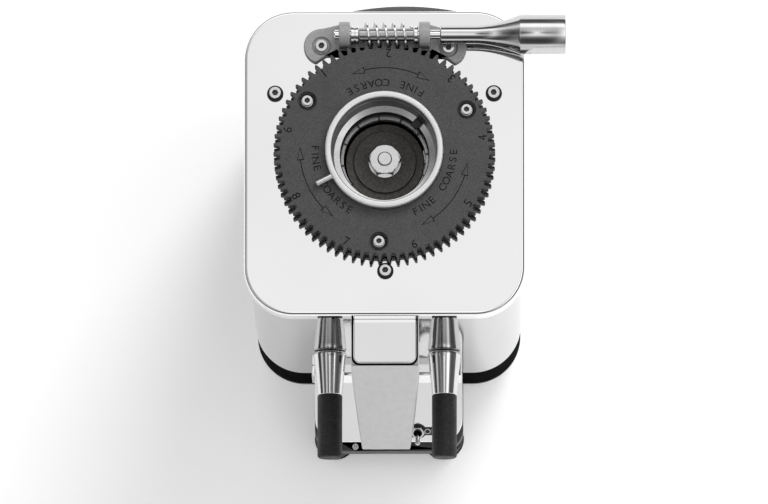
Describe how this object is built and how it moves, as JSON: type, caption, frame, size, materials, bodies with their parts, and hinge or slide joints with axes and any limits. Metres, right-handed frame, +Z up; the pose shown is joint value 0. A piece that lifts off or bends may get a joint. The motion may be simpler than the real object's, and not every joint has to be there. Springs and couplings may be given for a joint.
{
  "type": "burr coffee grinder",
  "caption": "Espresso burr grinder without its hopper: mirror-steel body, toothed adjusting ring turned by a worm knob, portafilter fork and spout.",
  "frame": {"origin": "centre of the bounding box in plan, on the surface that the feet stand on", "axes": "+Z up, -Y to the front where the fork and spout are, +X to the right where the adjusting knob ends"},
  "size_m": [0.196, 0.2606, 0.315],
  "materials": {
    "mirror_steel": "polished",
    "polished_steel": "satin",
    "black_plastic": "matte",
    "sleeve_rubber": "matte",
    "label_black": "satin",
    "galvanised_sheet": "satin",
    "rear_paint": "satin",
    "screw_steel": "satin",
    "black_oxide": "black oxide",
    "gear_casting": "fine cast",
    "bracket_casting": "bead blasted",
    "collar_aluminium": "machined satin",
    "burr_steel": "ground",
    "disc_bronze": "machined",
    "bronze": "machined",
    "housing_casting": "as cast",
    "shaft_steel": "ground",
    "laminations": "varnished",
    "copper_windings": "varnished",
    "capacitor_white": "gloss"
  },
  "bodies": {
    "frame": {"top_plate": "mirror_steel", "body_shell": "mirror_steel", "base_band": "black_plastic", "bottom_cover": "galvanised_sheet", "bottom_screws": "screw_steel", "rubber_feet": "sleeve_rubber", "rear_cover": "rear_paint", "rear_cover_screws": "screw_steel", "power_inlet": "black_plastic", "inlet_blades": "screw_steel", "front_base_cover": "mirror_steel", "front_base_plinth": "black_plastic", "plinth_screws": "screw_steel", "tray_bracket": "mirror_steel", "bracket_screws": "screw_steel", "switch_label": "label_black", "switch_body": "black_plastic", "switch_nut": "screw_steel", "chute_body": "polished_steel", "chute_cap": "mirror_steel", "chute_screws": "screw_steel", "left_fork_arm": "polished_steel", "right_fork_arm": "polished_steel", "left_fork_sleeve": "sleeve_rubber", "right_fork_sleeve": "sleeve_rubber", "fork_nuts": "screw_steel", "start_button_bezel": "screw_steel", "start_button_spring": "screw_steel", "worm_bracket": "bracket_casting", "worm_bracket_screws": "screw_steel", "worm_bushings": "bronze", "burr_housing": "housing_casting", "plate_screws": "screw_steel", "plate_washers": "black_oxide", "stator": "copper_windings", "motor_can": "galvanised_sheet", "end_bells": "housing_casting", "shaft_bearings": "shaft_steel", "capacitor": "capacitor_white"},
    "adjuster": {"adjusting_gear": "gear_casting", "gear_screws": "screw_steel", "gear_washers": "screw_steel", "upper_burr_carrier": "collar_aluminium", "upper_burr": "burr_steel", "upper_burr_screws": "screw_steel", "hopper_catch": "black_plastic"},
    "hopper_lock": {"hopper_lock_pin": "screw_steel"},
    "adjusting_screw": {"worm_shaft": "polished_steel", "adjusting_knob": "polished_steel", "knob_set_screw": "black_oxide"},
    "spindle": {"lower_burr": "burr_steel", "lower_burr_carrier": "disc_bronze", "lower_burr_screws": "screw_steel", "burr_nut": "burr_steel", "burr_washer": "burr_steel", "motor_shaft": "shaft_steel", "rotor": "laminations", "cooling_fan": "black_plastic"},
    "power_toggle": {"toggle_lever": "screw_steel"},
    "start_switch": {"start_button": "black_plastic"}
  },
  "joints": [
    {"name": "gear_turn", "type": "hinge", "parent": "frame", "child": "adjuster", "pos_m": [-0.0125, 0.03575, 0.3], "axis": [0, 0, 1], "range_deg": [-60, 60]},
    {"name": "knob_turn", "type": "hinge", "parent": "frame", "child": "adjusting_screw", "pos_m": [-0.0125, 0.10765, 0.3028], "axis": [1, 0, 0], "continuous": true},
    {"name": "lock_pull", "type": "slide", "parent": "adjuster", "child": "hopper_lock", "axis": [-0.891, -0.454, 0], "range_m": [0, 0.003]},
    {"name": "burr_spin", "type": "hinge", "parent": "frame", "child": "spindle", "pos_m": [-0.0125, 0.03575, 0.25], "axis": [0, 0, 1], "continuous": true},
    {"name": "toggle_flip", "type": "hinge", "parent": "frame", "child": "power_toggle", "pos_m": [0.0054, -0.09186, 0.03276], "axis": [1, 0, 0], "range_deg": [-22, 0]},
    {"name": "start_press", "type": "slide", "parent": "frame", "child": "start_switch", "axis": [0, 1, 0], "range_m": [0, 0.004], "stiffness_N_per_m": 250, "springref_m": -0.001, "deforming": ["start_button_spring"]}
  ],
  "couplings": [
    {"joint": "knob_turn", "follows": "gear_turn", "ratio": 75}
  ]
}
